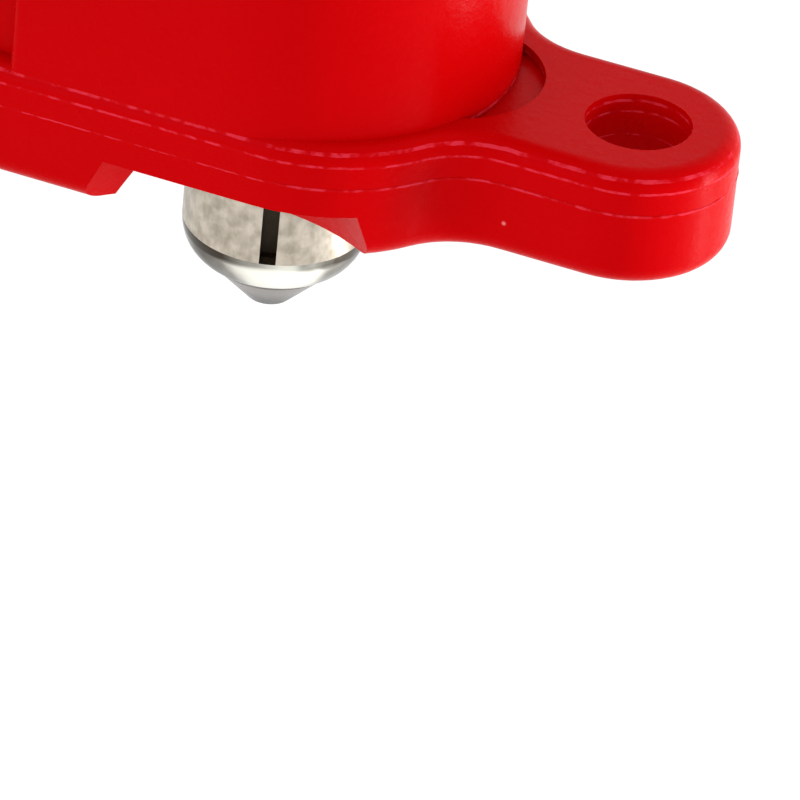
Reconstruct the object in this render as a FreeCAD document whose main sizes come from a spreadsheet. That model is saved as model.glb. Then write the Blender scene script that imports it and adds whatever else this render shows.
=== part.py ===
"""Lockout padlock with a moulded body, an eared base and an off-centre key cylinder.

Frame: X along the body, Y from front to back, Z up; the origin is the underside of the
shackle's bow, where the lock hangs. Millimetres.
"""
import FreeCAD, Part
import math
import os

doc = FreeCAD.newDocument("safety_padlock")
V = FreeCAD.Vector

# ---------------------------------------------------------------- driving dimensions
SIZES = {
    # moulded body
    "body_length": 52.2, "body_depth": 24.4, "body_rise": 40.0,
    "shell_wall": 2.2, "shell_roof": 2.5, "crown_round": 3.0,
    "groove_width": 2.6, "groove_depth": 1.2, "groove_round": 0.5,
    # flange, ears and base cover
    "ledge": 0.2, "flange_corner": 10.0, "edge_round": 1.1, "flange_plate": 2.5,
    "cover_plate": 1.75, "skirt_drop": 2.85, "skirt_wall": 1.65, "hollow_end": 10.6,
    "ear_reach": 7.25, "ear_radius": 6.1, "hole_reach": 7.6, "ear_hole": 3.0,
    "ear_fillet": 4.9, "pocket_inset": 3.5, "pocket_radius": 5.4, "pocket_depth": 0.7,
    "scoop_shift": 2.45, "scoop_offset": 7.2, "scoop_radius": 11.9, "scoop_flare": 1.0,
    # inner case
    "case_gap": 0.15, "split_rise": 24.0, "channel_half": 3.8, "channel_gap": 0.2,
    "case_screw_inset": 3.05, "near_screw_gap": 8.65, "far_screw_share": 0.234414,
    "case_screw_length": 33.0, "screw_radius": 1.25, "screw_head": 2.1, "head_height": 1.6,
    "hex_socket": 0.85, "hex_depth": 0.8, "screw_gap": 0.1, "recess_gap": 0.4,
    "cover_screw_inset": 2.35, "cover_screw_length": 8.0,
    # key cylinder
    "leg_to_barrel": 2.35, "barrel_radius": 5.3, "barrel_gap": 0.15, "barrel_fit": 0.05,
    "barrel_top": 17.0, "nose_drop": 12.6, "ring_height": 2.7, "ring_round": 2.6,
    "spigot_step": 0.8, "spigot_length": 1.4, "slot_width": 0.95, "slot_wall": 0.35,
    "slot_turn": 18.0, "slot_length": 9.8, "bible_half": 2.4, "bible_reach": 8.4,
    "plug_radius": 3.6, "plug_gap": 0.05, "plug_face": 2.4, "face_cone": 2.3,
    "keyway_width": 1.2, "keyway_low": 2.4, "keyway_high": 1.9, "ward_width": 0.5,
    "ward_start": 1.9, "ward_height": 1.2, "pin_radius": 0.95, "pin_tip": 0.3,
    "pin_pitch": 2.7, "pin_first": 1.6, "pin_gap": 0.05, "shear_gap": 0.15,
    "driver_length": 1.9, "strip_height": 0.8, "strip_margin": 0.5, "spring_wire": 0.28,
    "pin_spring_turns": 3.5, "seal_width": 1.5, "seal_height": 1.0,
    "lock_pin_radius": 0.8, "lock_pin_rise": 4.0, "lock_pin_length": 14.0,
    # cam, bolt
    "clip_height": 0.6, "clip_width": 1.6, "clip_groove": 0.7, "clip_mouth": 3.0,
    "tail_half": 1.4, "cam_radius": 4.9, "cam_height": 1.8, "cam_gap": 0.25, "crank": 3.2,
    "crank_pin": 1.1, "crank_height": 2.4, "lost_motion": 0.75, "bolt_plate": 2.3,
    "bolt_half": 3.5, "bolt_tail": 11.15, "bolt_reach": 5.85, "riser_clear": 0.5,
    "nose_height": 3.0, "nose_half": 2.2, "nose_rise": 30.2, "engagement": 1.9,
    "cam_screw_radius": 0.8, "cam_screw_length": 5.0, "cam_screw_head": 1.5,
    "cam_head_height": 1.0, "cam_slot_width": 0.4, "cam_slot_depth": 0.5,
    # shackle
    "shackle_radius": 3.2, "leg_inset": 10.6, "bow_clear": 38.0, "leg_gap": 0.25,
    "toe_rise": 27.5, "heel_rise": 7.0, "lift": 13.0, "leg_chamfer": 0.8,
    "stop_pin_radius": 1.2, "stop_pin_rise": 26.5, "relief_depth": 1.3, "relief_gap": 0.2,
    "seat_height": 1.0, "spring_thick": 0.85, "spring_turns": 5.5, "spring_side_gap": 0.3,
    # how far a cutting shape runs past the face it opens
    "overshoot": 1.0,
    # places along the body that follow its length
    "leg_centre": "=body_length/2 - leg_inset", "hollow_half": "=body_length/2 - hollow_end",
    "barrel_centre": "=leg_centre - leg_to_barrel",
    "scoop_centre": "=barrel_centre + scoop_shift", "bolt_left": "=barrel_centre - bolt_tail",
    "stop_centre": "=shackle_radius - relief_depth + relief_gap + stop_pin_radius - leg_centre",
    "lock_pin_centre": "=barrel_centre - barrel_radius",
    "case_screw_near": "=barrel_centre - near_screw_gap",
    "case_screw_far": "=stop_centre + far_screw_share*(lock_pin_centre - stop_centre)",
    "cover_screw_x": "=(case_screw_near + case_screw_far)/2",
}
dims = doc.addObject("Spreadsheet::Sheet", "Dims")
for row, (alias, value) in enumerate(SIZES.items(), start=1):
    dims.set("A%d" % row, alias)
    dims.set("B%d" % row, str(value))
    dims.setAlias("B%d" % row, alias)
doc.recompute()

PIN_COUNT = 5
KEY_PIN_LENGTHS = (2.6, 1.9, 3.0, 2.3, 1.7)
FLANGE = "-(@bow_clear + @body_rise)"
LEG_BORE = "@shackle_radius + @leg_gap"
CASE_LENGTH = "@body_length - 2*@shell_wall - 2*@case_gap"
CASE_DEPTH = "@body_depth - 2*@shell_wall - 2*@case_gap"
CASE_TOP = "@body_rise - @shell_roof"
COVER_DROP = "@flange_plate + @cover_plate + @skirt_drop"
PLATE_DROP = "@flange_plate + @cover_plate"
CAM_BASE = "@barrel_top + @clip_height + 2*@cam_gap"
BOLT_BASE = CAM_BASE + " + @cam_height + @cam_gap"
NOTCH_FLOOR = "@leg_centre - @shackle_radius + @engagement"
FLANGE_HALF = "(@body_length/2 + @ledge)"
FLANGE_SIDE = "(@body_depth/2 + @ledge)"
EAR_CENTRE = FLANGE_HALF + " + @ear_reach"
HOLE_CENTRE = FLANGE_HALF + " + @hole_reach"
CASE_SIDE = "(@body_depth/2 - @shell_wall - @case_gap)"
CASE_SCREW_Y = CASE_SIDE + " - @case_screw_inset"
COVER_SCREW_END = "-(@body_length/2 - @shell_wall - @case_gap - @cover_screw_inset)"
SPIGOT_RADIUS = "@barrel_radius - @spigot_step"
RISER_RIGHT = "@leg_centre - @shackle_radius - @crank - @riser_clear"
SAME = 1e-6
NEAR = 0.01

subparts = []


# ---------------------------------------------------------------- modelling helpers
def ex(text):
    """An expression on the sheet: @name stands for the cell of that name."""
    return str(text).replace("@", "Dims.")


def val(text):
    """The value of such an expression now."""
    return float(dims.evalExpression(ex(text)))


def bind(obj, **sizes):
    for name, text in sizes.items():
        obj.setExpression(name, ex(text))
    return obj


def at(obj, x=0, y=0, z=0):
    """Put an object at x, y and at a height z above the flange's top face."""
    obj.setExpression("Placement.Base.x", ex(x))
    obj.setExpression("Placement.Base.y", ex(y))
    obj.setExpression("Placement.Base.z", ex("%s + (%s)" % (FLANGE, z)))
    return obj


def turned(obj, axis, angle):
    obj.Placement = FreeCAD.Placement(V(), FreeCAD.Rotation(axis, angle))
    return obj


def block(name, length, width, height, x, y, z):
    """A box whose lowest corner is at x, y, z."""
    box = bind(doc.addObject("Part::Box", name), Length=length, Width=width, Height=height)
    return at(box, x, y, z)


def rod(name, radius, height, x, y, z, axis=None, angle=0):
    cylinder = bind(doc.addObject("Part::Cylinder", name), Radius=radius, Height=height)
    if axis is not None:
        turned(cylinder, axis, angle)
    return at(cylinder, x, y, z)


def cone(name, low, high, height, x, y, z, axis=None, angle=0):
    shape = bind(doc.addObject("Part::Cone", name), Radius1=low, Radius2=high, Height=height)
    if axis is not None:
        turned(shape, axis, angle)
    return at(shape, x, y, z)


def fuse(name, parts, refine=True):
    joined = doc.addObject("Part::MultiFuse", name)
    joined.Shapes = parts
    joined.Refine = refine
    return joined


def group(name, parts):
    """Several separate solids of one node."""
    holder = doc.addObject("Part::Compound", name)
    holder.Links = parts
    return holder


def cut(name, base, tools, refine=True):
    tool = tools[0] if len(tools) == 1 else fuse(name + "_tools", tools, False)
    result = doc.addObject("Part::Cut", name)
    result.Base = base
    result.Tool = tool
    result.Refine = refine
    return result


def round_edges(name, base, radius, chosen):
    """Round the edges of base that chosen() picks."""
    doc.recompute()
    fillet = doc.addObject("Part::Fillet", name)
    fillet.Base = base
    size = val(radius)
    picked = [i for i, edge in enumerate(base.Shape.Edges, start=1) if chosen(edge)]
    assert picked, name
    fillet.Edges = [(i, size, size) for i in picked]
    return fillet


def finished(label, obj):
    obj.Label = label
    subparts.append(obj)
    return obj


def vertical(edge):
    box = edge.BoundBox
    return box.ZLength > NEAR and max(box.XLength, box.YLength) < SAME


def level(edge, height):
    box = edge.BoundBox
    return box.ZLength < SAME and abs(box.ZMin - height) < SAME


def stadium(name, length, depth, height, z):
    """A block with full-round ends, centred on the origin's X and Y."""
    straight = "(%s) - (%s)" % (length, depth)
    core = block(name + "_core", straight, depth, height,
                 "-(%s)/2" % straight, "-(%s)/2" % depth, z)
    ends = [rod("%s_end%d" % (name, i), "(%s)/2" % depth, height,
                "%d*(%s)/2" % (side, straight), 0, z) for i, side in enumerate((1, -1))]
    return fuse(name, [core] + ends)


def flange_block(name, height, z):
    """The base's outline: a rounded rectangle one ledge larger than the body, with two ears."""
    slab = block(name + "_slab", "2*" + FLANGE_HALF, "2*" + FLANGE_SIDE, height,
                 "-" + FLANGE_HALF, "-" + FLANGE_SIDE, z)
    wide = round_edges(name + "_wide", slab, "@flange_corner", vertical)
    arm = block(name + "_arm", "2*(%s)" % EAR_CENTRE, "2*@ear_radius", height,
                "-(%s)" % EAR_CENTRE, "-@ear_radius", z)
    tips = [rod("%s_tip%d" % (name, i), "@ear_radius", height, "%d*(%s)" % (side, EAR_CENTRE), 0, z)
            for i, side in enumerate((1, -1))]
    joined = fuse(name + "_joined", [wide, arm] + tips)
    corner = val("@flange_corner")
    below = val("@ear_radius - (%s - @flange_corner)" % FLANGE_SIDE)
    root_x = val(FLANGE_HALF) - corner + math.sqrt(corner ** 2 - max(below, 0) ** 2)

    def ear_root(edge):
        return vertical(edge) and abs(abs(edge.BoundBox.Center.x) - root_x) < NEAR

    return round_edges(name, joined, "@ear_fillet", ear_root)


def ear_holes(name, height, z):
    return [rod("%s_ear%d" % (name, i), "@ear_hole", height, "%d*(%s)" % (side, HOLE_CENTRE), 0, z)
            for i, side in enumerate((1, -1))]


def relief_pockets():
    """The shallow crescents sunk in the flange against the body's round ends."""
    pockets = []
    for i, side in enumerate((1, -1)):
        disc = rod("pocket_disc%d" % i, "@pocket_radius", "@pocket_depth",
                   "%d*(@body_length/2 - @pocket_inset)" % side, 0, "-@pocket_depth")
        body = stadium("pocket_keep%d" % i, "@body_length", "@body_depth", "@pocket_depth",
                       "-@pocket_depth")
        pockets.append(cut("pocket_crescent%d" % i, disc, [body], False))
    return pockets


def screw(name, x, y, head_z, length):
    """A cap screw driven upwards: its head is the lowest part."""
    head = rod(name + "_head", "@screw_head", "@head_height", x, y, head_z)
    shank = rod(name + "_shank", "@screw_radius", length, x, y, head_z)
    socket = doc.addObject("Part::Prism", name + "_hex")
    socket.Polygon = 6
    bind(socket, Circumradius="@hex_socket", Height="@hex_depth")
    at(socket, x, y, head_z)
    return cut(name, fuse(name + "_blank", [head, shank]), [socket])


def screw_holes(name, places, head_z, length):
    """The room for screws at those places, one gap larger all round."""
    holes = []
    for i, (x, y) in enumerate(places):
        holes.append(rod("%s_bore%d" % (name, i), "@screw_radius + @screw_gap", length,
                         x, y, head_z))
        holes.append(rod("%s_seat%d" % (name, i), "@screw_head + @screw_gap", "@head_height",
                         x, y, head_z))
    return holes


def coil(radius, wire, height, turns):
    """A round-wire helix standing on z = 0 with its wire wholly between 0 and height."""
    pitch = (height - wire) / turns
    helix = Part.makeHelix(pitch, height - wire, radius)
    start = helix.Edges[0].valueAt(helix.Edges[0].FirstParameter)
    tangent = helix.Edges[0].tangentAt(helix.Edges[0].FirstParameter)
    section = Part.Wire([Part.Edge(Part.Circle(start, tangent, wire / 2))])
    solid = Part.Wire(helix).makePipeShell([section], True, True)
    solid.translate(V(0, 0, wire / 2))
    return solid


# ---------------------------------------------------------------- moulded body shell
body = stadium("shell_body", "@body_length", "@body_depth", "@body_rise + @edge_round",
               "-@edge_round")
crown = round_edges("shell_crown", body, "@crown_round",
                    lambda edge: level(edge, val(FLANGE + " + @body_rise")))
plate = flange_block("shell_flange", "@flange_plate", "-@flange_plate")
plate = round_edges("shell_flange_edge", plate, "@edge_round",
                    lambda edge: level(edge, val(FLANGE)))
GROOVE_BITE = "@groove_depth + @overshoot"
grooves = [block("shell_groove%d" % i, "@groove_width", GROOVE_BITE,
                 "@body_rise + @edge_round + @overshoot", "-@groove_width/2",
                 "%d*(@body_depth/2 - @groove_depth) - %d*(%s)" % (side, side < 0, GROOVE_BITE),
                 "-@edge_round")
           for i, side in enumerate((1, -1))]
grooved = cut("shell_grooved", crown, grooves)


def groove_lip(edge):
    middle = edge.BoundBox.Center
    return (vertical(edge) and abs(abs(middle.x) - val("@groove_width/2")) < NEAR
            and abs(abs(middle.y) - val("@body_depth/2")) < NEAR)


lipped = round_edges("shell_lips", grooved, "@groove_round", groove_lip)
solid_shell = fuse("shell_solid", [lipped, plate])
room = stadium("shell_room", CASE_LENGTH + " + 2*@case_gap", CASE_DEPTH + " + 2*@case_gap",
               "@flange_plate + " + CASE_TOP, "-@flange_plate")
legs = [rod("shell_leg%d" % i, LEG_BORE, "@shell_roof + 2*@overshoot",
            "%d*@leg_centre" % side, 0, CASE_TOP + " - @overshoot")
        for i, side in enumerate((1, -1))]
finished("body_shell", cut("body_shell", solid_shell, [room] + legs
         + ear_holes("shell", "@flange_plate", "-@flange_plate")
         + relief_pockets()))

# ---------------------------------------------------------------- base cover
CASE_SCREWS = [(x, y) for x in ("@case_screw_near", "@case_screw_far")
               for y in (CASE_SCREW_Y, "-(%s)" % CASE_SCREW_Y)]
COVER_SCREWS = [("@cover_screw_x", CASE_SCREW_Y), ("@cover_screw_x", "-(%s)" % CASE_SCREW_Y),
                (COVER_SCREW_END, "0")]
HEAD_DROP = PLATE_DROP + " + @head_height"
slab = flange_block("cover_slab", "@cover_plate + @skirt_drop", "-(%s)" % COVER_DROP)
slab = round_edges("cover_slab_edge", slab, "@edge_round",
                   lambda edge: level(edge, val("%s - (%s)" % (FLANGE, COVER_DROP))))
HOLLOW_SIDE = FLANGE_SIDE + " - @skirt_wall"
hollow = block("cover_hollow", "2*@hollow_half", "2*(%s)" % HOLLOW_SIDE, "@skirt_drop",
               "-@hollow_half", "-(%s)" % HOLLOW_SIDE, "-(%s)" % COVER_DROP)
end_recess = rod("cover_end_recess", "@screw_head + @recess_gap", "@skirt_drop",
                 COVER_SCREW_END, 0, "-(%s)" % COVER_DROP)
passage = rod("cover_passage", "@barrel_radius + @barrel_gap", COVER_DROP, "@barrel_centre", 0,
              "-(%s)" % COVER_DROP)
seal_seat = rod("cover_seal_seat", "@barrel_radius + @barrel_gap + @seal_width", "@seal_height",
                "@barrel_centre", 0, "-@flange_plate - @seal_height")
scoop = cone("cover_scoop", "@scoop_radius", "@scoop_radius - @scoop_flare", "@skirt_drop",
             "@scoop_centre", "-(%s + @scoop_offset)" % FLANGE_SIDE, "-(%s)" % COVER_DROP)
screw_ways = [rod("cover_screw%d" % i, "@screw_radius + @screw_gap", "@cover_plate", x, y,
                  "-(%s)" % PLATE_DROP) for i, (x, y) in enumerate(COVER_SCREWS)]
finished("base_cover", cut("base_cover", slab,
         [hollow, end_recess, passage, seal_seat, scoop] + screw_ways
         + ear_holes("cover", COVER_DROP, "-(%s)" % COVER_DROP)))
finished("barrel_seal", cut("barrel_seal",
         rod("seal_disc", "@barrel_radius + @barrel_gap + @seal_width", "@seal_height",
             "@barrel_centre", 0, "-@flange_plate - @seal_height"),
         [rod("seal_bore", "@barrel_radius", "@seal_height", "@barrel_centre", 0,
              "-@flange_plate - @seal_height")]))
finished("cover_screws", group("cover_screws",
         [screw("cover_screw_%d" % i, x, y, "-(%s)" % HEAD_DROP,
                "@head_height + @cover_plate + @cover_screw_length")
          for i, (x, y) in enumerate(COVER_SCREWS)]))

# ---------------------------------------------------------------- inner case
CASE_BASE = "-@flange_plate"
SCREW_WAYS_LOWER = screw_holes("lower_case_screw", CASE_SCREWS, CASE_BASE,
                               "@flange_plate + @split_rise")
cover_threads = [rod("lower_thread%d" % i, "@screw_radius", "@cover_screw_length", x, y, CASE_BASE)
                 for i, (x, y) in enumerate(COVER_SCREWS)]


def bible(name, gap, top, bottom):
    """The rib behind the barrel that holds the pin stacks."""
    return block(name, "2*(@bible_half + %s)" % gap, "@bible_reach + %s" % gap,
                 "(%s) - (%s)" % (top, bottom), "@barrel_centre - @bible_half - %s" % gap, 0,
                 bottom)


def lock_pin(name, gap):
    """The cross pin that keeps the barrel in the case, along Y beside the barrel."""
    return rod(name, "@lock_pin_radius", "@lock_pin_length + %s" % gap,
               "@lock_pin_centre", "@lock_pin_length/2", "@lock_pin_rise",
               V(1, 0, 0), 90)


heel_way = rod("lower_heel", LEG_BORE, "@split_rise + @seat_height", "-@leg_centre", 0,
               "-@seat_height")
barrel_way = rod("lower_barrel", "@barrel_radius + @barrel_fit", "@barrel_top + @flange_plate",
                 "@barrel_centre", 0, CASE_BASE)
cam_room = rod("lower_cam_room", "@cam_radius + 2*@cam_gap", "@split_rise - @barrel_top",
               "@barrel_centre", 0, "@barrel_top")
BOLT_RIGHT = "@barrel_centre + @bolt_reach"
channel_low = block("lower_channel", BOLT_RIGHT + " + @crank - @bolt_left + 2*@channel_gap",
                    "2*@channel_half", "@split_rise - (%s) + @channel_gap" % BOLT_BASE,
                    "@bolt_left - @channel_gap", "-@channel_half",
                    BOLT_BASE + " - @channel_gap")
lower_block = stadium("lower_block", CASE_LENGTH, CASE_DEPTH, "@split_rise + @flange_plate",
                      CASE_BASE)
finished("case_lower", cut("case_lower", lower_block,
         [heel_way, barrel_way, cam_room, channel_low, lock_pin("lower_lock_pin", "0"),
          bible("lower_bible", "@barrel_fit", "@barrel_top", CASE_BASE)]
         + SCREW_WAYS_LOWER + cover_threads))

upper_height = "%s - @split_rise" % CASE_TOP
upper_block = stadium("upper_block", CASE_LENGTH, CASE_DEPTH, upper_height, "@split_rise")
toe_way = rod("upper_toe", LEG_BORE, "%s - @toe_rise + @leg_gap" % CASE_TOP, "@leg_centre", 0,
              "@toe_rise - @leg_gap")
heel_way_up = rod("upper_heel", LEG_BORE, upper_height, "-@leg_centre", 0, "@split_rise")
nose_top = "@nose_rise + @nose_height"
channel_up = block("upper_channel",
                   RISER_RIGHT + " + @crank - @bolt_left + 2*@channel_gap",
                   "2*@channel_half", "%s - @split_rise + @channel_gap" % nose_top,
                   "@bolt_left - @channel_gap", "-@channel_half", "@split_rise")
nose_way = block("upper_nose_way", "@leg_centre - @bolt_left", "2*(@nose_half + @channel_gap)",
                 "@nose_height + 2*@channel_gap", "@bolt_left", "-@nose_half - @channel_gap",
                 "@nose_rise - @channel_gap")
stop_way = rod("upper_stop", "@stop_pin_radius", CASE_DEPTH, "@stop_centre", "(%s)/2" % CASE_DEPTH,
               "@stop_pin_rise", V(1, 0, 0), 90)
threads_up = [rod("upper_thread%d" % i, "@screw_radius",
                  "@case_screw_length - @flange_plate - @split_rise", x, y, "@split_rise")
              for i, (x, y) in enumerate(CASE_SCREWS)]
finished("case_upper", cut("case_upper", upper_block,
         [toe_way, heel_way_up, channel_up, nose_way, stop_way] + threads_up))
finished("case_screws", group("case_screws",
         [screw("case_screw_%d" % i, x, y, CASE_BASE, "@case_screw_length")
          for i, (x, y) in enumerate(CASE_SCREWS)]))
finished("heel_stop_pin", rod("heel_stop_pin", "@stop_pin_radius", CASE_DEPTH, "@stop_centre",
                              "(%s)/2" % CASE_DEPTH, "@stop_pin_rise", V(1, 0, 0), 90))
finished("barrel_lock_pin", lock_pin("barrel_lock_pin", "0"))

# ---------------------------------------------------------------- key cylinder housing
NOSE_END = "-@nose_drop"
barrel = rod("barrel_rod", "@barrel_radius", "@barrel_top + @nose_drop", "@barrel_centre", 0,
             NOSE_END)
spigot = rod("barrel_spigot", SPIGOT_RADIUS, "@spigot_length", "@barrel_centre", 0,
             "%s - @spigot_length" % NOSE_END)
rib = bible("barrel_rib", "0", "@barrel_top", CASE_BASE)
plug_way = rod("barrel_plug_way", "@plug_radius + @plug_gap",
               "@barrel_top + @nose_drop + @spigot_length", "@barrel_centre", 0,
               "%s - @spigot_length" % NOSE_END)
side_slot = turned(doc.addObject("Part::Box", "barrel_slot"), V(0, 0, 1), val("@slot_turn"))
SLOT_FLOOR = "@plug_radius + @plug_gap + @slot_wall"
SLOT_OUT = "(@barrel_radius + @overshoot)"
bind(side_slot, Length="@slot_width", Width="%s - (%s)" % (SLOT_OUT, SLOT_FLOOR),
     Height="@slot_length")
at(side_slot, "@barrel_centre + %s*sin(@slot_turn) - @slot_width/2*cos(@slot_turn)" % SLOT_OUT,
   "-%s*cos(@slot_turn) - @slot_width/2*sin(@slot_turn)" % SLOT_OUT, NOSE_END)
STRIP_FOOT = "@bible_reach - @strip_height"


def pin_rise(i):
    return "@pin_first + %d*@pin_pitch" % i


def along_y(name, radius, length, start, i):
    """A rod of pin chamber i, from the distance start behind the plug's axis backwards."""
    return rod(name, radius, length, "@barrel_centre", "(%s) + (%s)" % (start, length),
               pin_rise(i), V(1, 0, 0), 90)


def along_x(name, radius, length, start, i):
    """A rod of plug chamber i, from the distance start beside the plug's axis to the right."""
    return rod(name, radius, length, "@barrel_centre + (%s)" % start, 0, pin_rise(i),
               V(0, 1, 0), 90)


chambers = [along_y("barrel_chamber%d" % i, "@pin_radius + @pin_gap", STRIP_FOOT, "0", i)
            for i in range(PIN_COUNT)]


def strip(name):
    return block(name, "2*(@pin_radius + @pin_gap + @strip_margin)", "@strip_height",
                 "%d*@pin_pitch + 2*@strip_margin" % PIN_COUNT,
                 "@barrel_centre - @pin_radius - @pin_gap - @strip_margin", STRIP_FOOT,
                 "@pin_first - @pin_pitch/2 - @strip_margin")


finished("cylinder_housing", cut("cylinder_housing",
         fuse("barrel_blank", [barrel, spigot, rib]),
         [plug_way, side_slot, strip("barrel_strip_seat"), lock_pin("barrel_pin_way", "0")]
         + chambers))
finished("chamber_strip", strip("chamber_strip"))
finished("driver_pins", group("driver_pins",
         [along_y("driver_pin%d" % i, "@pin_radius", "@driver_length",
                  "@plug_radius + @plug_gap + @pin_gap", i) for i in range(PIN_COUNT)]))

spring_start = val("@plug_radius + @plug_gap + @pin_gap + @driver_length")
pin_coils = []
for i in range(PIN_COUNT):
    turn = coil(val("@pin_radius - @spring_wire/2 - @pin_gap"), val("@spring_wire"),
                val(STRIP_FOOT) - spring_start, val("@pin_spring_turns"))
    turn.rotate(V(), V(1, 0, 0), -90)
    turn.translate(V(val("@barrel_centre"), spring_start, val("%s + %s" % (FLANGE, pin_rise(i)))))
    pin_coils.append(turn)
springs = doc.addObject("Part::Feature", "pin_springs")
springs.Shape = Part.makeCompound(pin_coils)
finished("pin_springs", springs)

# ---------------------------------------------------------------- nose ring
RING_END = "-@nose_drop - @ring_height"
ring_blank = rod("ring_blank", "@barrel_radius", "@ring_height", "@barrel_centre", 0, RING_END)
ring_round = round_edges("ring_round", ring_blank, "@ring_round",
                         lambda edge: level(edge, val("%s + %s" % (FLANGE, RING_END))))
finished("nose_ring", cut("nose_ring", ring_round,
         [rod("ring_bore", "@plug_radius + @plug_gap", "@ring_height", "@barrel_centre", 0,
              RING_END),
          rod("ring_socket", SPIGOT_RADIUS, "@spigot_length", "@barrel_centre", 0,
              "%s - @spigot_length" % NOSE_END)]))

# ---------------------------------------------------------------- plug, drawn as unlocked
plug_rod = rod("plug_rod", "@plug_radius", "%s - (%s)" % (CAM_BASE, RING_END), "@barrel_centre",
               0, RING_END)
plug_face = cone("plug_face", "@plug_radius - @face_cone", "@plug_radius", "@plug_face",
                 "@barrel_centre", 0, "%s - @plug_face" % RING_END)
TAIL_TOP = CAM_BASE + " + @cam_height - @cam_head_height"
tail = block("plug_tail", "2*@tail_half", "2*@tail_half", "%s - (%s)" % (TAIL_TOP, CAM_BASE),
             "@barrel_centre - @tail_half", "-@tail_half", CAM_BASE)
keyway_height = "@pin_first + %d*@pin_pitch - (%s) + @plug_face" % (PIN_COUNT, RING_END)
keyway = block("plug_keyway", "@keyway_low + @keyway_high", "@keyway_width", keyway_height,
               "@barrel_centre - @keyway_low", "-@keyway_width/2", "%s - @plug_face" % RING_END)
ward = block("plug_ward", "@ward_height", "@ward_width + @keyway_width/2", keyway_height,
             "@barrel_centre - @ward_start", "-@keyway_width/2 - @ward_width",
             "%s - @plug_face" % RING_END)
CLIP_FOOT = "@barrel_top + @cam_gap/2"
clip_groove = cut("plug_clip_groove",
                  rod("groove_out", "@plug_radius", "@clip_height", "@barrel_centre", 0,
                      CLIP_FOOT),
                  [rod("groove_in", "@plug_radius - @clip_groove", "@clip_height",
                       "@barrel_centre", 0, CLIP_FOOT)])
cam_screw_way = rod("plug_cam_screw_way", "@cam_screw_radius",
                    "@cam_screw_length - @cam_head_height", "@barrel_centre", 0,
                    "%s - @cam_screw_length + @cam_head_height" % TAIL_TOP)
plug_chambers = [along_x("plug_chamber%d" % i, "@pin_radius + @pin_gap", "@plug_radius", "0", i)
                 for i in range(PIN_COUNT)]
finished("plug", cut("plug", fuse("plug_blank", [plug_rod, plug_face, tail]),
                     [keyway, ward, clip_groove, cam_screw_way] + plug_chambers))

key_pins = []
for i, length in enumerate(KEY_PIN_LENGTHS):
    start = "@plug_radius - @shear_gap - %s" % length
    tip = cone("key_pin_tip%d" % i, "@pin_tip", "@pin_radius", "@pin_radius - @pin_tip",
               "@barrel_centre + %s" % start, 0, pin_rise(i), V(0, 1, 0), 90)
    shank = along_x("key_pin_shank%d" % i, "@pin_radius", "%s - @pin_radius + @pin_tip" % length,
                    "%s + @pin_radius - @pin_tip" % start, i)
    key_pins.append(fuse("key_pin%d" % i, [tip, shank]))
finished("key_pins", group("key_pins", key_pins))
finished("plug_clip", cut("plug_clip",
         rod("clip_disc", "@plug_radius - @clip_groove + @clip_width", "@clip_height",
             "@barrel_centre", 0, CLIP_FOOT),
         [rod("clip_bore", "@plug_radius - @clip_groove", "@clip_height", "@barrel_centre", 0,
              CLIP_FOOT),
          block("clip_mouth", "@clip_mouth", "2*@plug_radius", "@clip_height",
                "@barrel_centre - @clip_mouth/2", "-2*@plug_radius", CLIP_FOOT)]))

# ---------------------------------------------------------------- cam with its crank pin
cam_disc = rod("cam_disc", "@cam_radius", "@cam_height", "@barrel_centre", 0, CAM_BASE)
crank_pin = rod("cam_crank", "@crank_pin", "@crank_height", "@barrel_centre", "-@crank",
                CAM_BASE + " + @cam_height")
square_hole = block("cam_square", "2*@tail_half", "2*@tail_half",
                    "@cam_height - @cam_head_height", "@barrel_centre - @tail_half",
                    "-@tail_half", CAM_BASE)
head_seat = rod("cam_head_seat", "@cam_screw_head", "@cam_head_height", "@barrel_centre", 0,
                TAIL_TOP)
finished("cam", cut("cam", fuse("cam_blank", [cam_disc, crank_pin]), [square_hole, head_seat]))
cam_screw_blank = fuse("cam_screw_blank",
                       [rod("cam_screw_top", "@cam_screw_head", "@cam_head_height",
                            "@barrel_centre", 0, TAIL_TOP),
                        rod("cam_screw_shank", "@cam_screw_radius",
                            "@cam_screw_length - @cam_head_height", "@barrel_centre", 0,
                            "%s - @cam_screw_length + @cam_head_height" % TAIL_TOP)])
screw_slot = block("cam_screw_slot", "2*@cam_screw_head", "@cam_slot_width", "@cam_slot_depth",
                   "@barrel_centre - @cam_screw_head", "-@cam_slot_width/2",
                   TAIL_TOP + " + @cam_head_height - @cam_slot_depth")
finished("cam_screw", cut("cam_screw", cam_screw_blank, [screw_slot]))

# ---------------------------------------------------------------- locking bolt, drawn back
bolt_slab = block("bolt_slab", BOLT_RIGHT + " - @bolt_left", "2*@bolt_half", "@bolt_plate",
                  "@bolt_left", "-@bolt_half", BOLT_BASE)
riser = block("bolt_riser", RISER_RIGHT + " - @bolt_left", "2*@bolt_half",
              "%s - (%s)" % (nose_top, BOLT_BASE), "@bolt_left", "-@bolt_half", BOLT_BASE)
NOSE_TIP = "%s - @channel_gap - @crank" % NOTCH_FLOOR
nose = block("bolt_nose", "%s - @bolt_left" % NOSE_TIP, "2*@nose_half", "@nose_height",
             "@bolt_left", "-@nose_half", "@nose_rise")
crank_slot = block("bolt_crank_slot", "2*@crank_pin + @plug_gap + @lost_motion",
                   "@crank + 2*@crank_pin + 2*@plug_gap", "@bolt_plate",
                   "@barrel_centre - @crank_pin - @plug_gap",
                   "-@crank - @crank_pin - @plug_gap", BOLT_BASE)
finished("locking_bolt", cut("locking_bolt", fuse("bolt_blank", [bolt_slab, riser, nose]),
                             [crank_slot]))

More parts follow.
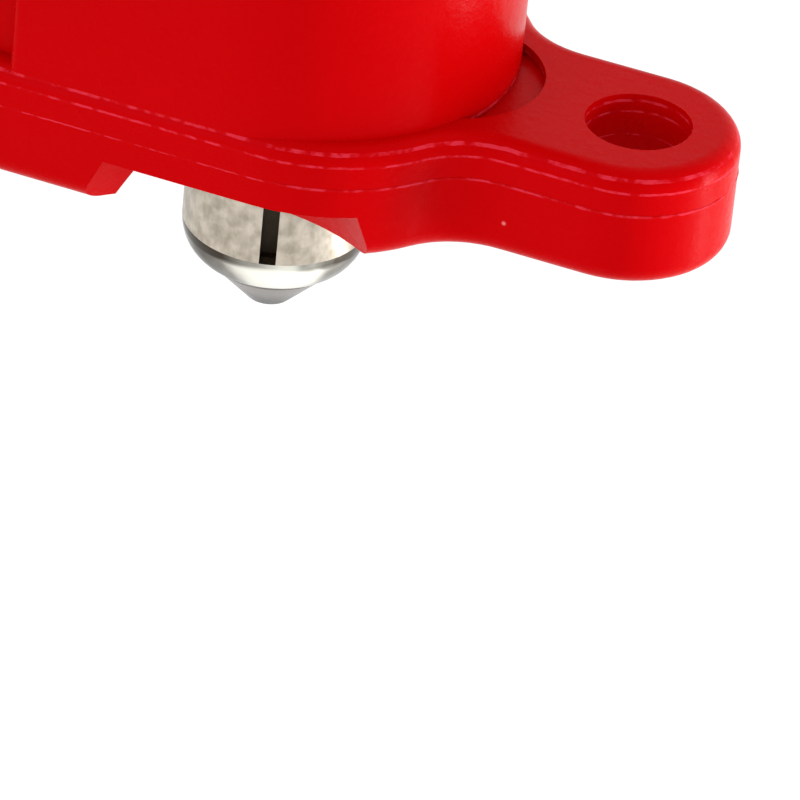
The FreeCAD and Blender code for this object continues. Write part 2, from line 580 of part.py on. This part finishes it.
# ---------------------------------------------------------------- shackle
BOW_RISE = "@body_rise + @bow_clear - @leg_centre + @shackle_radius"
bow = bind(doc.addObject("Part::Torus", "shackle_bow"), Radius1="@leg_centre",
           Radius2="@shackle_radius")
bow.Angle3 = 180
at(turned(bow, V(1, 0, 0), 90), 0, 0, BOW_RISE)


def leg(name, side, foot):
    straight = rod(name, "@shackle_radius", "%s - %s" % (BOW_RISE, foot),
                   "%d*@leg_centre" % side, 0, foot)
    return round_edges(name + "_foot", straight, "@leg_chamfer",
                       lambda edge: level(edge, val("%s + %s" % (FLANGE, foot))))


notch = block("toe_notch", "@shackle_radius + @engagement", "4*@shackle_radius",
              "@nose_height + 2*@channel_gap", "@leg_centre - 2*@shackle_radius",
              "-2*@shackle_radius", "@nose_rise - @channel_gap")
RELIEF_FOOT = "@stop_pin_rise - @stop_pin_radius - @relief_gap - @lift"
relief = block("heel_relief", "2*@relief_depth", "4*@shackle_radius",
               "@lift + 2*@stop_pin_radius + 2*@relief_gap",
               "-@leg_centre + @shackle_radius - @relief_depth", "-2*@shackle_radius",
               RELIEF_FOOT)
neck = cut("heel_neck",
           rod("neck_out", "2*@shackle_radius", "2*@stop_pin_radius + 2*@relief_gap",
               "-@leg_centre", 0, RELIEF_FOOT),
           [rod("neck_in", "@shackle_radius - @relief_depth",
                "2*@stop_pin_radius + 2*@relief_gap", "-@leg_centre", 0, RELIEF_FOOT)])
shackle_blank = fuse("shackle_blank", [bow, leg("toe_leg", 1, "@toe_rise"),
                                       leg("heel_leg", -1, "@heel_rise")])
finished("shackle", cut("shackle", shackle_blank, [notch, relief, neck]))
finished("spring_seat", rod("spring_seat", LEG_BORE, "@seat_height", "-@leg_centre", 0,
                            "-@seat_height"))
lift_coil = coil(val("@shackle_radius + @leg_gap - @spring_side_gap - @spring_thick/2"),
                 val("@spring_thick"), val("@heel_rise"), val("@spring_turns"))
lift_coil.translate(V(-val("@leg_centre"), 0, val(FLANGE)))
lift_spring = doc.addObject("Part::Feature", "shackle_spring")
lift_spring.Shape = lift_coil
finished("shackle_spring", lift_spring)

# ---------------------------------------------------------------- checks and export
doc.recompute()
for obj in doc.Objects:
    assert not {"Invalid", "Error"} & set(obj.State), (obj.Name, obj.State)
os.makedirs("parts", exist_ok=True)
for part in subparts:
    shape = part.Shape
    assert not shape.isNull() and shape.isValid() and shape.Volume > 0, part.Label
    shape.exportStep("parts/%s.step" % part.Label)
    print("%-18s %2d solids %9.2f mm3" % (part.Label, len(shape.Solids), shape.Volume))
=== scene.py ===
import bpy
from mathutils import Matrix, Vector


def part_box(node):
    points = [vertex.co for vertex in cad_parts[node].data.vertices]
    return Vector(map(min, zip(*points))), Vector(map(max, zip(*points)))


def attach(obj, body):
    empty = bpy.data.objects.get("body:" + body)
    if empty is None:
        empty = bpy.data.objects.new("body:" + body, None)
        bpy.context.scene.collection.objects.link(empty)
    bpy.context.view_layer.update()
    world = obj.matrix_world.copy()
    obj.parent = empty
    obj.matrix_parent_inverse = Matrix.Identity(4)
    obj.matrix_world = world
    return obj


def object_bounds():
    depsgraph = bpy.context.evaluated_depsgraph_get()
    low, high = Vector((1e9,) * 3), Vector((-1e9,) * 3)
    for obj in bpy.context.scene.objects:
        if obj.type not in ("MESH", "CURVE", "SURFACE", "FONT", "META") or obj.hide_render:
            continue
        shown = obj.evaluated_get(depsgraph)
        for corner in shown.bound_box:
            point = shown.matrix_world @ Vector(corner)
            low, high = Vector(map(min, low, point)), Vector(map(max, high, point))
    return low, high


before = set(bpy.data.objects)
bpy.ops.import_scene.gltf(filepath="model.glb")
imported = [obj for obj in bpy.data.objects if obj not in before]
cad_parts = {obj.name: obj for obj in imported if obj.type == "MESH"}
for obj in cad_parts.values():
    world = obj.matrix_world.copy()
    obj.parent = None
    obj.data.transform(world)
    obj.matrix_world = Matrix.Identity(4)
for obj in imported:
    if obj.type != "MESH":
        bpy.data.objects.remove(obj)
# A lockout padlock: red moulded body, eared base, off-centre key cylinder, plated shackle.
# The lock hangs by its shackle from the origin, with its front towards -Y. Metres.

import math

import bmesh
import bpy
from mathutils import Matrix, Vector

cad_box = [list(corner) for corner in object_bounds()]

# ---------------------------------------------------------------- cylinder housing and strip
# The lock's barrel is turned brass with a satin nickel plate, rubbed by years of keys and
# pockets. The brass strip behind it is staked over the five pin chambers.
MM = 0.001


def add_node(tree, kind, settings, sockets):
    """Any node in any tree: its settings first, then the values or links of its sockets."""
    made = tree.nodes.new(kind)
    for name, setting in settings.items():
        if name == "stops":
            ramp = made.color_ramp.elements
            while len(ramp) < len(setting):
                ramp.new(0.5)
            for stop, (position, level) in zip(ramp, setting):
                stop.position = position
                stop.color = (level, level, level, 1)
        else:
            setattr(made, name, setting)
    for name, content in sockets.items():
        if isinstance(content, bpy.types.NodeSocket):
            tree.links.new(content, made.inputs[name])
        else:
            made.inputs[name].default_value = content
    return made


class Value:
    """One output in a material's node tree. Arithmetic on it adds Math nodes there."""

    def __init__(self, finish, socket):
        self.finish = finish
        self.socket = socket

    def math(self, operation, *terms):
        return self.finish.node("ShaderNodeMath", {"operation": operation},
                                dict(enumerate(terms)))

    def __add__(self, other):
        return self.math("ADD", self, other)

    def __radd__(self, other):
        return self.math("ADD", other, self)

    def __sub__(self, other):
        return self.math("SUBTRACT", self, other)

    def __rsub__(self, other):
        return self.math("SUBTRACT", other, self)

    def __mul__(self, other):
        return self.math("MULTIPLY", self, other)

    def __rmul__(self, other):
        return self.math("MULTIPLY", other, self)

    def __gt__(self, other):
        return self.math("GREATER_THAN", self, other)

    def __lt__(self, other):
        return self.math("LESS_THAN", self, other)


class Finish:
    """A material with a Principled shader, whose pattern lies on the object's own place."""

    def __init__(self, name, metallic=0.0, **constants):
        self.material = bpy.data.materials.new(name)
        self.material.use_nodes = True
        self.tree = self.material.node_tree
        self.tree.nodes.clear()
        self.shader = self.tree.nodes.new("ShaderNodeBsdfPrincipled")
        output = self.tree.nodes.new("ShaderNodeOutputMaterial")
        self.tree.links.new(self.shader.outputs["BSDF"], output.inputs["Surface"])
        self.shader.inputs["Metallic"].default_value = metallic
        for words, constant in constants.items():
            self.shader.inputs[words.replace("_", " ")].default_value = constant
        self.place = self.node("ShaderNodeTexCoord", {}, {}, "Object")

    def node(self, kind, settings, sockets, output=0):
        """Any node of this material, as the Value of one of its outputs."""
        fed = {name: content.socket if isinstance(content, Value) else content
               for name, content in sockets.items()}
        return Value(self, add_node(self.tree, kind, settings, fed).outputs[output])

    def noise(self, size, detail=2.0, stretch=(1, 1, 1)):
        """Soft noise with features of that size in metres, drawn out along its stretch."""
        grid = self.node("ShaderNodeMapping", {"vector_type": "POINT"},
                         {"Vector": self.place, "Scale": [1 / way for way in stretch]})
        return self.node("ShaderNodeTexNoise", {},
                         {"Vector": grid, "Scale": 1 / size, "Detail": detail}, "Fac")

    def band(self, amount, *stops):
        """A grey ramp over an amount from 0 to 1, as (position, level) stops."""
        return self.node("ShaderNodeValToRGB", {"stops": stops}, {"Fac": amount})

    def blend(self, amount, first, second):
        """From the first colour to the second as the amount goes from 0 to 1."""
        colours = {6: first, 7: second}
        for socket, colour in colours.items():
            if not isinstance(colour, Value):
                colours[socket] = (*colour, 1)
        return self.node("ShaderNodeMix", {"data_type": "RGBA"}, {0: amount, **colours}, 2)

    def part(self, axis):
        """One coordinate of the place, in metres."""
        return self.node("ShaderNodeSeparateXYZ", {}, {"Vector": self.place}, axis)

    def finish(self, colour, roughness, height=None, depth=0.01 * MM):
        """Feed the shader; height from 0 to 1 stands depth metres tall."""
        feeds = {"Base Color": colour, "Roughness": roughness}
        if height is not None:
            feeds["Normal"] = self.node("ShaderNodeBump", {}, {"Height": height,
                                                               "Distance": depth}, "Normal")
        for name, feed in feeds.items():
            self.tree.links.new(feed.socket, self.shader.inputs[name])
        return self.material


def worn_metal(name, light, dark, gloss, rub, grain, lay=(1, 1, 1), depth=0.004 * MM):
    """Plated or bare metal: cloudy colour, scratches along its lay, and fine grain."""
    metal = Finish(name, metallic=1.0)
    cloud = metal.noise(3 * MM, 3.0)
    hair = metal.band(metal.noise(grain, 3.0, lay), (0.42, 0), (0.50, 1), (0.54, 1), (0.62, 0))
    colour = metal.blend(cloud * 0.7 + hair * 0.3, dark, light)
    roughness = gloss + cloud * rub + hair * 0.08
    return metal.finish(colour, roughness, hair * 0.6 + metal.noise(grain, 2.0) * 0.4, depth)


def dress(material, *nodes):
    """Give CAD nodes their finish."""
    for node in nodes:
        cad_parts[node].material_slots[0].material = material


BARREL_SKIN = 0.12 * MM
ring_low, ring_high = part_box("nose_ring")
barrel_axis = (ring_low + ring_high) / 2
nickel = Finish("satin_nickel", metallic=1.0)
cloud = nickel.noise(3 * MM, 3.0)
brushed = nickel.noise(0.35 * MM, 3.0, (0.8, 0.8, 3.0))
across = nickel.part("X") - barrel_axis.x
through = nickel.part("Y") - barrel_axis.y
reach = nickel.node("ShaderNodeMath", {"operation": "SQRT"},
                    {0: across * across + through * through})
skin = (ring_high.x - ring_low.x) / 2 - BARREL_SKIN
# Everything sunk more than the skin inside the barrel's outer face is painted near black and
# rougher: painted shade in those recesses.
recess_shade = (skin > reach) * 0.93
mottle = nickel.band(nickel.noise(0.9 * MM, 5.0), (0.38, 0.0), (0.62, 1.0))
plate = nickel.blend(mottle * 0.5 + brushed * 0.5, (0.28, 0.245, 0.19), (0.64, 0.57, 0.48))
dress(nickel.finish(nickel.blend(recess_shade, plate, (0.06, 0.048, 0.03)),
                    0.24 + cloud * 0.16 + recess_shade * 0.4, brushed, 0.006 * MM), "cylinder_housing")
turned_brass = worn_metal("turned_brass", (0.80, 0.60, 0.26), (0.58, 0.40, 0.15), 0.22, 0.2,
                          0.2 * MM, (4.0, 4.0, 0.4))
dress(turned_brass, "chamber_strip", "driver_pins", "key_pins")

# ---------------------------------------------------------------- pin springs and plug clip
# Five coils of hard drawn wire push the driver pins, and a spring steel clip in the plug's
# groove keeps it from pulling out at the front. Both are a bluish grey.
spring_wire = worn_metal("drawn_spring_wire", (0.62, 0.62, 0.64), (0.34, 0.35, 0.40), 0.2, 0.15,
                         0.12 * MM, (1.0, 1.0, 3.0))
dress(spring_wire, "pin_springs", "shackle_spring", "plug_clip")

# ---------------------------------------------------------------- plug
# The plug is nickel plated brass. Its coned face is scuffed by the key round the keyway, and
# it is painted darker towards its tip as painted shade.
face_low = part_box("plug")[0]
scuffed = Finish("scuffed_plug", metallic=1.0)
fine = scuffed.noise(0.25 * MM, 4.0)
cloud = scuffed.noise(1.2 * MM, 3.0)
face_reach = (scuffed.part("Z") - face_low.z) * (1 / (ring_low.z - face_low.z))
# The coned face is painted darker towards its tip: painted shade.
tip_shade = scuffed.band(face_reach, (0.0, 1.0), (0.25, 0.75), (0.6, 0.12), (1.0, 0.0))
bare = scuffed.blend(cloud, (0.12, 0.11, 0.10), (0.30, 0.27, 0.25))
dress(scuffed.finish(scuffed.blend(tip_shade * (0.5 + fine), bare, (0.05, 0.045, 0.04)),
                     0.2 + cloud * 0.25, fine, 0.01 * MM), "plug")

# ---------------------------------------------------------------- nose ring
# The ring pressed over the barrel's spigot is polished steel. It carries faint turning lines;
# its dark and bright patches round it and bands along its height are painted reflection and
# painted shade.
REFLECTION_TURN = 3.74
polished = Finish("polished_ring", metallic=1.0)
around = polished.node("ShaderNodeMath", {"operation": "ARCTAN2"},
                       {0: polished.part("Y") - barrel_axis.y,
                        1: polished.part("X") - barrel_axis.x})
height = (polished.part("Z") - ring_low.z) * (1 / (ring_high.z - ring_low.z))
wander = polished.noise(2.2 * MM, 2.0)
wave = polished.node("ShaderNodeMath", {"operation": "SINE"},
                     {0: around * 3.0 + wander * 2.0 + REFLECTION_TURN})
patch = wave * 0.5 + 0.5
rim = polished.band(height + wander * 0.16, (0.0, 0.2), (0.12, 0.75), (0.25, 0.05), (0.5, 0.65),
                    (0.85, 0.9), (0.97, 0.05))
tone = polished.band(patch * 0.75 + rim * 0.4, (0.30, 0.0), (0.55, 0.25), (0.75, 0.75),
                     (0.95, 1.0))
# The dark and bright tones blended here are painted reflection and painted shade.
painted_reflection = polished.blend(tone, (0.055, 0.045, 0.035), (0.90, 0.89, 0.80))
lines = polished.noise(0.2 * MM, 2.0, (8.0, 8.0, 0.5))
dress(polished.finish(painted_reflection, 0.07 + (1 - tone) * 0.18, lines, 0.002 * MM), "nose_ring")

# ---------------------------------------------------------------- cam, bolt and cross pins
# Hardened and ground steel, with fine grinding lines across the flats.
ground_steel = worn_metal("ground_steel", (0.70, 0.70, 0.70), (0.44, 0.44, 0.45), 0.18, 0.14,
                          0.15 * MM, (6.0, 0.5, 1.0))
dress(ground_steel, "cam", "locking_bolt", "heel_stop_pin", "barrel_lock_pin")

# ---------------------------------------------------------------- die-cast inner case
# Two zinc die castings, left as cast: a dull grey skin with a fine grain and cloudy flow
# marks from the gate.
cast = Finish("as_cast_zinc", metallic=1.0)
flow = cast.noise(6 * MM, 4.0, (1.0, 1.0, 2.5))
pits = cast.noise(0.4 * MM, 3.0)
dress(cast.finish(cast.blend(flow, (0.30, 0.30, 0.32), (0.56, 0.56, 0.57)), 0.42 + pits * 0.25,
                  pits, 0.03 * MM), "case_lower", "case_upper")

# ---------------------------------------------------------------- screws
# Zinc plated cap screws with a bluish passivated skin that is cloudy.
dress(worn_metal("zinc_plate", (0.72, 0.74, 0.78), (0.50, 0.52, 0.54), 0.24, 0.22, 0.3 * MM),
      "case_screws", "cover_screws", "cam_screw")

# ---------------------------------------------------------------- spring seat and seal
# A brass washer takes the lifting spring. The barrel's seal is black moulded rubber with
# a soft bloom.
dress(turned_brass, "spring_seat")
rubber = Finish("black_rubber")
bloom = rubber.noise(1.5 * MM, 3.0)
dress(rubber.finish(rubber.blend(bloom, (0.012, 0.012, 0.013), (0.05, 0.05, 0.052)),
                    0.6 + bloom * 0.25, rubber.noise(0.15 * MM), 0.01 * MM), "barrel_seal")

# ---------------------------------------------------------------- shackle
# Hardened steel bar, bent and chrome plated: grey and bright, with faint lengthwise drawing
# lines and a few rubbed hairlines where hasps have hung.
plated = Finish("chrome_plate", metallic=1.0)
drawn = plated.noise(0.3 * MM, 2.0, (0.6, 0.6, 12.0))
rubs_and_highlights = plated.band(plated.noise(1.1 * MM, 4.0, (2.0, 2.0, 0.5)), (0.5, 0.0), (0.75, 1.0))
dress(plated.finish(plated.blend(rubs_and_highlights, (0.42, 0.43, 0.45), (0.27, 0.27, 0.28)),
                    0.12 + rubs_and_highlights * 0.2 + drawn * 0.08, drawn, 0.0015 * MM), "shackle")

# ---------------------------------------------------------------- moulded shell and base cover
# Both are injection moulded red nylon with a fine spark-eroded skin. Broken pale lines along the
# flange's upper corner and the cover's top edge are painted highlights, and a few pale specks of
# dust are moulded in.
shell_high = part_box("body_shell")[1]
cover_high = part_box("base_cover")[1]
flange_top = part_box("shackle_spring")[0].z


def red_nylon(name, *arrises):
    """Moulded nylon. Each arris is a (low, high) pair of levels where a broken pale line is
    painted along a corner as a painted highlight.
    """
    nylon = Finish(name, IOR=1.13, Specular_Tint=(1.0, 0.18, 0.34, 1))
    cloud = nylon.noise(9 * MM, 3.0)
    grain = nylon.noise(0.55 * MM, 4.0)
    skin = nylon.noise(0.10 * MM, 2.0)
    base = nylon.blend(cloud, (0.455, 0.0002, 0.0004), (0.515, 0.0002, 0.0012))
    level = nylon.part("Z")
    fray = (nylon.noise(0.5 * MM, 3.0) - 0.5) * (0.10 * MM)
    broken = nylon.band(nylon.noise(0.9 * MM, 4.0), (0.44, 0.05), (0.58, 1.0))
    rubs_and_highlights = 0.0
    for low, high in arrises:
        # Between each pair of levels the nylon is painted pale in broken dots: a painted
        # highlight line.
        inside = (level + fray > low) * (1 - (level + fray > high))
        rubs_and_highlights = inside * broken + rubs_and_highlights
    highlit = nylon.blend(rubs_and_highlights * 0.45, base, (0.78, 0.055, 0.10))
    cell = nylon.node("ShaderNodeTexVoronoi", {"feature": "F1"},
                      {"Vector": nylon.place, "Scale": 1 / (6.5 * MM)}, "Distance")
    speck = nylon.band(cell, (0.0, 1.0), (0.010, 1.0), (0.025, 0.0))
    colour = nylon.blend(speck * 0.8, highlit, (0.80, 0.20, 0.20))
    roughness = 0.20 + grain * 0.12 + rubs_and_highlights * 0.10
    return nylon.finish(colour, roughness, grain * 0.75 + skin * 0.25, 0.035 * MM)


FLANGE_ROUND = 1.1 * MM
# The two levels on the flange's rounded top edge where pale lines are painted as painted
# highlights.
top_arris = (flange_top - 0.50 * MM, flange_top - 0.33 * MM)
wall_arris = (flange_top - FLANGE_ROUND - 0.08 * MM, flange_top - FLANGE_ROUND + 0.06 * MM)
dress(red_nylon("red_nylon_shell", top_arris, wall_arris), "body_shell")
# A pale line painted just under the cover's top edge is a painted highlight.
dress(red_nylon("red_nylon_cover", (cover_high.z - 0.12 * MM, cover_high.z - 0.04 * MM)),
      "base_cover")

# ---------------------------------------------------------------- weld bead
# Shell and cover are welded round their flange. The joint shows as a hair-thin bead of red
# nylon that the weld squeezed out, uneven along its length. Its pale broken dots are painted
# highlight.


BEAD_REACH = 0.06 * MM
SHARP = 1.2


def outer_loop(node, level):
    """The widest loop of sharp edges that a node has at that height, as a curve.

    Along the outermost faces it is drawn in by the bead's reach, where the bead is dressed flush.
    """
    low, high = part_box(node)
    solid = bmesh.new()
    solid.from_mesh(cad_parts[node].data)
    bmesh.ops.remove_doubles(solid, verts=solid.verts, dist=0.001 * MM)
    rim = [edge for edge in solid.edges
           if all(abs(end.co.z - level) < 0.01 * MM for end in edge.verts)
           and edge.calc_face_angle(0) > SHARP]
    ways = {}
    for edge in rim:
        for end in edge.verts:
            ways.setdefault(end, []).append(edge.other_vert(end))
    longest, walked = [], set()
    for first in ways:
        loop, here = [], first
        while here is not None and here not in walked:
            walked.add(here)
            loop.append(here.co.copy())
            here = next((step for step in ways[here] if step not in walked), None)
        longest = max(longest, loop, key=lambda run: max(p.x for p in run) - min(p.x for p in run)
                      if run else 0)
    solid.free()
    line = bpy.data.curves.new(node + "_outline", "CURVE")
    line.dimensions = "3D"
    spline = line.splines.new("POLY")
    spline.points.add(len(longest) - 1)
    for point, place in zip(spline.points, longest):
        x = min(max(place.x, low.x + BEAD_REACH), high.x - BEAD_REACH)
        y = min(max(place.y, low.y + BEAD_REACH), high.y - BEAD_REACH)
        point.co = (x, y, place.z, 1)
    spline.use_cyclic_u = True
    return line


class Pattern:
    """A Geometry Nodes tree with named sizes, and the mesh it makes from an object."""

    def __init__(self, name, sizes):
        self.tree = bpy.data.node_groups.new(name, "GeometryNodeTree")
        face = self.tree.interface
        face.new_socket("Geometry", in_out="INPUT", socket_type="NodeSocketGeometry")
        face.new_socket("Geometry", in_out="OUTPUT", socket_type="NodeSocketGeometry")
        self.sizes = {}
        for words, size in sizes.items():
            kind = {int: "Int", float: "Float"}[type(size)]
            socket = face.new_socket(words, in_out="INPUT", socket_type="NodeSocket" + kind)
            self.sizes[socket.identifier] = size
        self.start = self.tree.nodes.new("NodeGroupInput")
        self.end = self.tree.nodes.new("NodeGroupOutput")

    def node(self, kind, settings, sockets, output=0):
        """Any node of this tree, as one of its outputs."""
        return add_node(self.tree, kind, settings, sockets).outputs[output]

    def mesh(self, name, source, geometry, material):
        """End in Realize Instances and Set Material, and return the plain mesh object."""
        real = self.node("GeometryNodeRealizeInstances", {}, {"Geometry": geometry})
        done = self.node("GeometryNodeSetMaterial", {}, {"Geometry": real, "Material": material})
        self.tree.links.new(done, self.end.inputs[0])
        modifier = source.modifiers.new(name, "NODES")
        modifier.node_group = self.tree
        for identifier, size in self.sizes.items():
            modifier[identifier] = size
        shown = source.evaluated_get(bpy.context.evaluated_depsgraph_get())
        piece = bpy.data.objects.new(name, bpy.data.meshes.new_from_object(shown))
        bpy.context.scene.collection.objects.link(piece)
        bpy.data.objects.remove(source)
        return piece


def linked(name, data):
    """A new object at the origin."""
    piece = bpy.data.objects.new(name, data)
    bpy.context.scene.collection.objects.link(piece)
    return piece


bead = Pattern("bead_along_joint", {"Radius": 0.01 * MM, "Step": 0.35 * MM, "Wander": 0.05 * MM})
radius, step, wander = [bead.start.outputs[name] for name in ("Radius", "Step", "Wander")]
even = bead.node("GeometryNodeResampleCurve", {"mode": "LENGTH"},
                 {"Curve": bead.start.outputs[0], "Length": step})
lump = bead.node("ShaderNodeTexNoise", {}, {"Scale": 1 / (2.5 * MM), "Detail": 3.0})
swell = bead.node("ShaderNodeMath", {"operation": "MULTIPLY_ADD"},
                  {0: lump, 1: wander, 2: radius})
section = bead.node("GeometryNodeCurvePrimitiveCircle", {}, {"Resolution": 8, "Radius": 1.0})
swept = bead.node("GeometryNodeCurveToMesh", {}, {"Curve": even, "Profile Curve": section,
                                                  "Scale": swell})
smooth = bead.node("GeometryNodeSetShadeSmooth", {}, {"Geometry": swept})
# The bead lies wholly within its pale band, so it is painted pale in broken dots: painted
# highlight.
weld_bead = bead.mesh("weld_bead", linked("joint_line", outer_loop("base_cover", cover_high.z)),
                      smooth, red_nylon("weld_nylon", (cover_high.z - 0.2 * MM,
                                                       cover_high.z + 0.2 * MM)))
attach(weld_bead, "lock_body")

# ---------------------------------------------------------------- floor, light and camera
# The lock hangs well above a white floor in a white room, lit from the front by a large soft
# lamp and from the right by a tall narrow strip, and seen from above its right front corner.
FLOOR_DROP = 0.20
FLOOR_HALF = 6.0
floor_mesh = bpy.data.meshes.new("studio_floor")
floor_level = cad_box[0][2] - FLOOR_DROP
floor_mesh.from_pydata([(x * FLOOR_HALF, y * FLOOR_HALF, floor_level)
                        for x, y in ((-1, -1), (1, -1), (1, 1), (-1, 1))], [], [(0, 1, 2, 3)])
floor = linked("studio_floor", floor_mesh)
paper = Finish("white_paper", Specular_IOR_Level=0.0)
weave = paper.noise(40 * MM)
white = paper.blend(weave, (0.96, 0.96, 0.96), (0.98, 0.98, 0.98))
floor_mesh.materials.append(paper.finish(white, 0.9 + weave * 0.05))

room = bpy.data.worlds.new("white_room")
room.use_nodes = True
room.node_tree.nodes["Background"].inputs["Color"].default_value = (1, 1, 1, 1)
room.node_tree.nodes["Background"].inputs["Strength"].default_value = 0.95
bpy.context.scene.world = room
bpy.context.scene.view_settings.view_transform = "Standard"


def lamp(name, watts, width, height, azimuth, elevation, distance):
    """A soft lamp that faces the middle of the lock."""
    middle = (Vector(cad_box[0]) + Vector(cad_box[1])) / 2
    turn, rise = math.radians(azimuth), math.radians(elevation)
    way = Vector((math.sin(turn) * math.cos(rise), -math.cos(turn) * math.cos(rise),
                  math.sin(rise)))
    light = bpy.data.lights.new(name, "AREA")
    light.energy = watts
    light.shape = "RECTANGLE"
    light.size = width
    light.size_y = height
    shown = linked(name, light)
    shown.matrix_world = (Matrix.Translation(middle + way * distance)
                          @ way.to_track_quat("Z", "Y").to_matrix().to_4x4())


lamp("front_softbox", 2.4, 0.6, 0.6, -30, 12, 1.0)
lamp("right_strip", 2.0, 0.045, 0.34, 107, -8, 0.45)

EAR_TO_EDGE = 5.85 * MM
ear_hole = Vector((shell_high.x - EAR_TO_EDGE, 0, flange_top))
LOOK_AZIMUTH, LOOK_ELEVATION, LOOK_ROLL = 19.26, 32.75, 5.79
LOOK_DISTANCE = 416.9 * MM
AIM_RIGHT, AIM_DOWN = -13.04 * MM, 15.33 * MM
LENS = 341.1
turn, rise, roll = [math.radians(angle) for angle in (LOOK_AZIMUTH, LOOK_ELEVATION, LOOK_ROLL)]
right = Vector((math.cos(turn), math.sin(turn), 0))
toward = Vector((math.sin(turn) * math.cos(rise), -math.cos(turn) * math.cos(rise),
                 math.sin(rise)))
up = toward.cross(right)
right, up = (right * math.cos(roll) + up * math.sin(roll),
             up * math.cos(roll) - right * math.sin(roll))
eye = ear_hole + right * AIM_RIGHT - up * AIM_DOWN + toward * LOOK_DISTANCE
camera = linked("camera", bpy.data.cameras.new("camera"))
camera.data.sensor_width = 36
camera.data.lens = LENS
camera.data.clip_start, camera.data.clip_end = 0.01, 50
camera.matrix_world = Matrix.Translation(eye) @ Matrix((right, up, toward)).transposed().to_4x4()
bpy.context.scene.camera = camera
